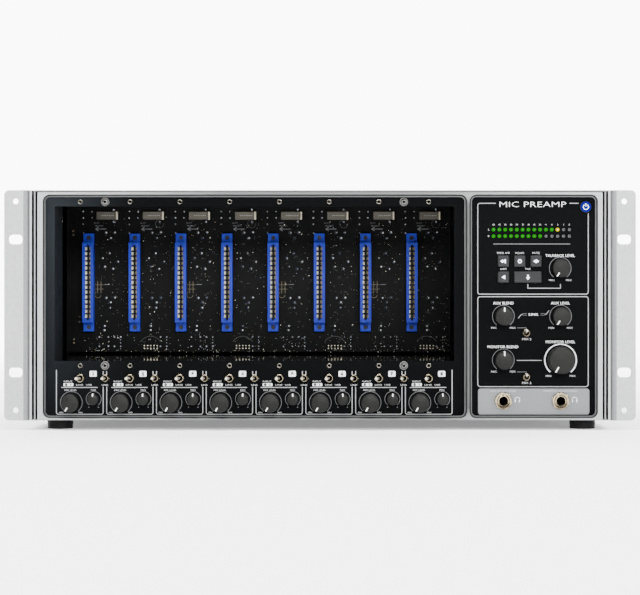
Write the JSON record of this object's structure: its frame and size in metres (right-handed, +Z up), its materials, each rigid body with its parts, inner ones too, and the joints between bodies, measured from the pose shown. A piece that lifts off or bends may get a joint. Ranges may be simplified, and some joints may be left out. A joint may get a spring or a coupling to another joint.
{
  "type": "microphone preamp rack frame",
  "caption": "Rack-mount microphone preamp frame: an open module bay with edge sockets, channel knobs and toggles below it, and a master section with meter, knobs, buttons and headphone jacks.",
  "frame": {"origin": "middle of the footprint, on the surface that the feet stand on", "axes": "+X to the right seen from the front, +Y from the front towards the rear, +Z up"},
  "size_m": [0.4826, 0.26, 0.1832],
  "materials": {
    "silver_paint": "satin silver, fine texture",
    "black_powder_coat": "satin black with white print",
    "board": "black solder mask",
    "soft_touch_plastic": "soft-touch",
    "button_plastic": "matt",
    "nickel_plate": "bright nickel",
    "foot_rubber": "matt"
  },
  "bodies": {
    "frame": {"chassis_tray": "silver_paint", "top_cover": "silver_paint", "rack_ear_left": "silver_paint", "rack_ear_right": "silver_paint", "foot_front_left": "foot_rubber", "foot_front_right": "foot_rubber", "foot_rear_left": "foot_rubber", "foot_rear_right": "foot_rubber", "front_bezel": "silver_paint", "front_panel": "black_powder_coat", "bay_liner": "black_powder_coat", "slot_backplane": "board", "control_circuit_board": "board", "rear_connector_board": "board", "headphone_jack_aux": "nickel_plate", "headphone_jack_monitor": "nickel_plate"},
    "level_knob_1": {"level_knob_1": "soft_touch_plastic"},
    "pan_knob_1": {"pan_knob_1": "soft_touch_plastic"},
    "level_knob_2": {"level_knob_2": "soft_touch_plastic"},
    "pan_knob_2": {"pan_knob_2": "soft_touch_plastic"},
    "level_knob_3": {"level_knob_3": "soft_touch_plastic"},
    "pan_knob_3": {"pan_knob_3": "soft_touch_plastic"},
    "level_knob_4": {"level_knob_4": "soft_touch_plastic"},
    "pan_knob_4": {"pan_knob_4": "soft_touch_plastic"},
    "level_knob_5": {"level_knob_5": "soft_touch_plastic"},
    "pan_knob_5": {"pan_knob_5": "soft_touch_plastic"},
    "level_knob_6": {"level_knob_6": "soft_touch_plastic"},
    "pan_knob_6": {"pan_knob_6": "soft_touch_plastic"},
    "level_knob_7": {"level_knob_7": "soft_touch_plastic"},
    "pan_knob_7": {"pan_knob_7": "soft_touch_plastic"},
    "level_knob_8": {"level_knob_8": "soft_touch_plastic"},
    "pan_knob_8": {"pan_knob_8": "soft_touch_plastic"},
    "talkback_knob": {"talkback_knob": "soft_touch_plastic"},
    "aux_blend_knob": {"aux_blend_knob": "soft_touch_plastic"},
    "aux_level_knob": {"aux_level_knob": "soft_touch_plastic"},
    "monitor_blend_knob": {"monitor_blend_knob": "soft_touch_plastic"},
    "monitor_level_knob": {"monitor_level_knob": "soft_touch_plastic"},
    "source_lever_1": {"source_lever_1": "nickel_plate"},
    "source_lever_2": {"source_lever_2": "nickel_plate"},
    "source_lever_3": {"source_lever_3": "nickel_plate"},
    "source_lever_4": {"source_lever_4": "nickel_plate"},
    "source_lever_5": {"source_lever_5": "nickel_plate"},
    "source_lever_6": {"source_lever_6": "nickel_plate"},
    "source_lever_7": {"source_lever_7": "nickel_plate"},
    "source_lever_8": {"source_lever_8": "nickel_plate"},
    "link_lever_1": {"link_lever_1": "nickel_plate"},
    "link_lever_2": {"link_lever_2": "nickel_plate"},
    "link_lever_3": {"link_lever_3": "nickel_plate"},
    "link_lever_4": {"link_lever_4": "nickel_plate"},
    "link_lever_5": {"link_lever_5": "nickel_plate"},
    "link_lever_6": {"link_lever_6": "nickel_plate"},
    "link_lever_7": {"link_lever_7": "nickel_plate"},
    "aux_return_lever": {"aux_return_lever": "nickel_plate"},
    "monitor_return_lever": {"monitor_return_lever": "nickel_plate"},
    "speaker_button": {"speaker_button": "button_plastic"},
    "mono_button": {"mono_button": "button_plastic"},
    "mute_button": {"mute_button": "button_plastic"},
    "dim_button": {"dim_button": "button_plastic"},
    "talk_button": {"talk_button": "button_plastic"},
    "power_button": {"power_button": "button_plastic"}
  },
  "joints": [
    {"name": "level_knob_1_turn", "type": "hinge", "parent": "frame", "child": "level_knob_1", "pos_m": [-0.1903, -0.1135, 0.0208], "axis": [0, 1, 0], "range_deg": [0, 300]},
    {"name": "pan_knob_1_turn", "type": "hinge", "parent": "frame", "child": "pan_knob_1", "pos_m": [-0.1732, -0.1135, 0.0235], "axis": [0, 1, 0], "range_deg": [-150, 150]},
    {"name": "level_knob_2_turn", "type": "hinge", "parent": "frame", "child": "level_knob_2", "pos_m": [-0.1522, -0.1135, 0.0208], "axis": [0, 1, 0], "range_deg": [0, 300]},
    {"name": "pan_knob_2_turn", "type": "hinge", "parent": "frame", "child": "pan_knob_2", "pos_m": [-0.1351, -0.1135, 0.0235], "axis": [0, 1, 0], "range_deg": [-150, 150]},
    {"name": "level_knob_3_turn", "type": "hinge", "parent": "frame", "child": "level_knob_3", "pos_m": [-0.1141, -0.1135, 0.0208], "axis": [0, 1, 0], "range_deg": [0, 300]},
    {"name": "pan_knob_3_turn", "type": "hinge", "parent": "frame", "child": "pan_knob_3", "pos_m": [-0.097, -0.1135, 0.0235], "axis": [0, 1, 0], "range_deg": [-150, 150]},
    {"name": "level_knob_4_turn", "type": "hinge", "parent": "frame", "child": "level_knob_4", "pos_m": [-0.076, -0.1135, 0.0208], "axis": [0, 1, 0], "range_deg": [0, 300]},
    {"name": "pan_knob_4_turn", "type": "hinge", "parent": "frame", "child": "pan_knob_4", "pos_m": [-0.0589, -0.1135, 0.0235], "axis": [0, 1, 0], "range_deg": [-150, 150]},
    {"name": "level_knob_5_turn", "type": "hinge", "parent": "frame", "child": "level_knob_5", "pos_m": [-0.0379, -0.1135, 0.0208], "axis": [0, 1, 0], "range_deg": [0, 300]},
    {"name": "pan_knob_5_turn", "type": "hinge", "parent": "frame", "child": "pan_knob_5", "pos_m": [-0.0208, -0.1135, 0.0235], "axis": [0, 1, 0], "range_deg": [-150, 150]},
    {"name": "level_knob_6_turn", "type": "hinge", "parent": "frame", "child": "level_knob_6", "pos_m": [0.0002, -0.1135, 0.0208], "axis": [0, 1, 0], "range_deg": [0, 300]},
    {"name": "pan_knob_6_turn", "type": "hinge", "parent": "frame", "child": "pan_knob_6", "pos_m": [0.0173, -0.1135, 0.0235], "axis": [0, 1, 0], "range_deg": [-150, 150]},
    {"name": "level_knob_7_turn", "type": "hinge", "parent": "frame", "child": "level_knob_7", "pos_m": [0.0383, -0.1135, 0.0208], "axis": [0, 1, 0], "range_deg": [0, 300]},
    {"name": "pan_knob_7_turn", "type": "hinge", "parent": "frame", "child": "pan_knob_7", "pos_m": [0.0554, -0.1135, 0.0235], "axis": [0, 1, 0], "range_deg": [-150, 150]},
    {"name": "level_knob_8_turn", "type": "hinge", "parent": "frame", "child": "level_knob_8", "pos_m": [0.0764, -0.1135, 0.0208], "axis": [0, 1, 0], "range_deg": [0, 300]},
    {"name": "pan_knob_8_turn", "type": "hinge", "parent": "frame", "child": "pan_knob_8", "pos_m": [0.0935, -0.1135, 0.0235], "axis": [0, 1, 0], "range_deg": [-150, 150]},
    {"name": "talkback_knob_turn", "type": "hinge", "parent": "frame", "child": "talkback_knob", "pos_m": [0.1838, -0.1135, 0.1235], "axis": [0, 1, 0], "range_deg": [0, 300]},
    {"name": "aux_blend_knob_turn", "type": "hinge", "parent": "frame", "child": "aux_blend_knob", "pos_m": [0.1403, -0.1135, 0.0868], "axis": [0, 1, 0], "range_deg": [-150, 150]},
    {"name": "aux_level_knob_turn", "type": "hinge", "parent": "frame", "child": "aux_level_knob", "pos_m": [0.1841, -0.1135, 0.0868], "axis": [0, 1, 0], "range_deg": [0, 300]},
    {"name": "monitor_blend_knob_turn", "type": "hinge", "parent": "frame", "child": "monitor_blend_knob", "pos_m": [0.1403, -0.1135, 0.0533], "axis": [0, 1, 0], "range_deg": [-150, 150]},
    {"name": "monitor_level_knob_turn", "type": "hinge", "parent": "frame", "child": "monitor_level_knob", "pos_m": [0.1841, -0.1135, 0.0533], "axis": [0, 1, 0], "range_deg": [0, 300]},
    {"name": "source_lever_1_swing", "type": "hinge", "parent": "frame", "child": "source_lever_1", "pos_m": [-0.1835, -0.1125, 0.0393], "axis": [0, 0, 1], "range_deg": [0, 26]},
    {"name": "source_lever_2_swing", "type": "hinge", "parent": "frame", "child": "source_lever_2", "pos_m": [-0.1454, -0.1125, 0.0393], "axis": [0, 0, 1], "range_deg": [0, 26]},
    {"name": "source_lever_3_swing", "type": "hinge", "parent": "frame", "child": "source_lever_3", "pos_m": [-0.1073, -0.1125, 0.0393], "axis": [0, 0, 1], "range_deg": [0, 26]},
    {"name": "source_lever_4_swing", "type": "hinge", "parent": "frame", "child": "source_lever_4", "pos_m": [-0.0692, -0.1125, 0.0393], "axis": [0, 0, 1], "range_deg": [0, 26]},
    {"name": "source_lever_5_swing", "type": "hinge", "parent": "frame", "child": "source_lever_5", "pos_m": [-0.0311, -0.1125, 0.0393], "axis": [0, 0, 1], "range_deg": [0, 26]},
    {"name": "source_lever_6_swing", "type": "hinge", "parent": "frame", "child": "source_lever_6", "pos_m": [0.007, -0.1125, 0.0393], "axis": [0, 0, 1], "range_deg": [0, 26]},
    {"name": "source_lever_7_swing", "type": "hinge", "parent": "frame", "child": "source_lever_7", "pos_m": [0.0451, -0.1125, 0.0393], "axis": [0, 0, 1], "range_deg": [0, 26]},
    {"name": "source_lever_8_swing", "type": "hinge", "parent": "frame", "child": "source_lever_8", "pos_m": [0.0832, -0.1125, 0.0393], "axis": [0, 0, 1], "range_deg": [0, 26]},
    {"name": "link_lever_1_swing", "type": "hinge", "parent": "frame", "child": "link_lever_1", "pos_m": [-0.16445, -0.1125, 0.0393], "axis": [0, 0, 1], "range_deg": [0, 26]},
    {"name": "link_lever_2_swing", "type": "hinge", "parent": "frame", "child": "link_lever_2", "pos_m": [-0.12635, -0.1125, 0.0393], "axis": [0, 0, 1], "range_deg": [0, 26]},
    {"name": "link_lever_3_swing", "type": "hinge", "parent": "frame", "child": "link_lever_3", "pos_m": [-0.08825, -0.1125, 0.0393], "axis": [0, 0, 1], "range_deg": [0, 26]},
    {"name": "link_lever_4_swing", "type": "hinge", "parent": "frame", "child": "link_lever_4", "pos_m": [-0.05015, -0.1125, 0.0393], "axis": [0, 0, 1], "range_deg": [0, 26]},
    {"name": "link_lever_5_swing", "type": "hinge", "parent": "frame", "child": "link_lever_5", "pos_m": [-0.01205, -0.1125, 0.0393], "axis": [0, 0, 1], "range_deg": [0, 26]},
    {"name": "link_lever_6_swing", "type": "hinge", "parent": "frame", "child": "link_lever_6", "pos_m": [0.02605, -0.1125, 0.0393], "axis": [0, 0, 1], "range_deg": [0, 26]},
    {"name": "link_lever_7_swing", "type": "hinge", "parent": "frame", "child": "link_lever_7", "pos_m": [0.06415, -0.1125, 0.0393], "axis": [0, 0, 1], "range_deg": [0, 26]},
    {"name": "aux_return_lever_swing", "type": "hinge", "parent": "frame", "child": "aux_return_lever", "pos_m": [0.1579, -0.1125, 0.074], "axis": [1, 0, 0], "range_deg": [0, 26]},
    {"name": "monitor_return_lever_swing", "type": "hinge", "parent": "frame", "child": "monitor_return_lever", "pos_m": [0.1579, -0.1125, 0.0403], "axis": [1, 0, 0], "range_deg": [0, 26]},
    {"name": "speaker_button_press", "type": "slide", "parent": "frame", "child": "speaker_button", "axis": [0, 1, 0], "range_m": [0, 0.001], "stiffness_N_per_m": 300},
    {"name": "mono_button_press", "type": "slide", "parent": "frame", "child": "mono_button", "axis": [0, 1, 0], "range_m": [0, 0.001], "stiffness_N_per_m": 300},
    {"name": "mute_button_press", "type": "slide", "parent": "frame", "child": "mute_button", "axis": [0, 1, 0], "range_m": [0, 0.001], "stiffness_N_per_m": 300},
    {"name": "dim_button_press", "type": "slide", "parent": "frame", "child": "dim_button", "axis": [0, 1, 0], "range_m": [0, 0.001], "stiffness_N_per_m": 300},
    {"name": "talk_button_press", "type": "slide", "parent": "frame", "child": "talk_button", "axis": [0, 1, 0], "range_m": [0, 0.001], "stiffness_N_per_m": 300},
    {"name": "power_button_press", "type": "slide", "parent": "frame", "child": "power_button", "axis": [0, 1, 0], "range_m": [0, 0.001], "stiffness_N_per_m": 300}
  ]
}
